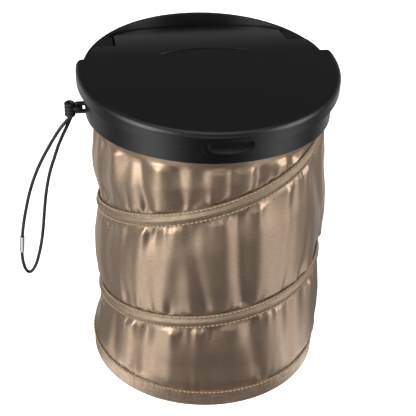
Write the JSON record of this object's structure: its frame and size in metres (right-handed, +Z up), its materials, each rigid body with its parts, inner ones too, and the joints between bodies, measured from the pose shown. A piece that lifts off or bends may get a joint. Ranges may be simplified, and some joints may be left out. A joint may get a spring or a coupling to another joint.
{
  "type": "car trash bin",
  "caption": "Round pop-up bin for a car, with a sprung fabric wall, a rigid collar, a hinged lid and an elastic cord to hang it by.",
  "frame": {"origin": "middle of the underside, where the bin stands", "axes": "+Z up through the bin's middle, -Y towards the front, where the finger scoop is, +X to the right as seen from the front"},
  "size_m": [0.2031, 0.1567, 0.2106],
  "materials": {
    "collar_plastic": "moulded",
    "lid_plastic": "moulded satin",
    "ring_plastic": "moulded",
    "wall_fabric": "satin weave",
    "tape_fabric": "woven",
    "hem_fabric": "satin weave",
    "floor_fabric": "woven",
    "coil_steel": "drawn wire",
    "board": "matt sheet",
    "cord": "braided elastic",
    "ferrule_metal": "bright"
  },
  "bodies": {
    "base": {"fabric_wall": "wall_fabric", "channel_tape": "tape_fabric", "spring_wire": "coil_steel", "foot_coil": "coil_steel", "hem_binding": "hem_fabric", "floor_panel": "floor_fabric", "base_board": "board"},
    "collar": {"collar": "collar_plastic", "retainer_ring": "ring_plastic", "hang_cord": "cord", "cord_knot": "cord", "cord_ferrule": "ferrule_metal"},
    "lid": {"lid": "lid_plastic"}
  },
  "joints": [
    {"name": "collapse", "type": "slide", "parent": "base", "child": "collar", "axis": [0, 0, 1], "range_m": [-0.15, 0], "stiffness_N_per_m": 60, "springref_m": 0.1, "deforming": ["fabric_wall", "channel_tape", "spring_wire"]},
    {"name": "lid_hinge", "type": "hinge", "parent": "collar", "child": "lid", "pos_m": [0, 0.03797, 0.20052], "axis": [-1, 0, 0], "range_deg": [0, 80]}
  ]
}
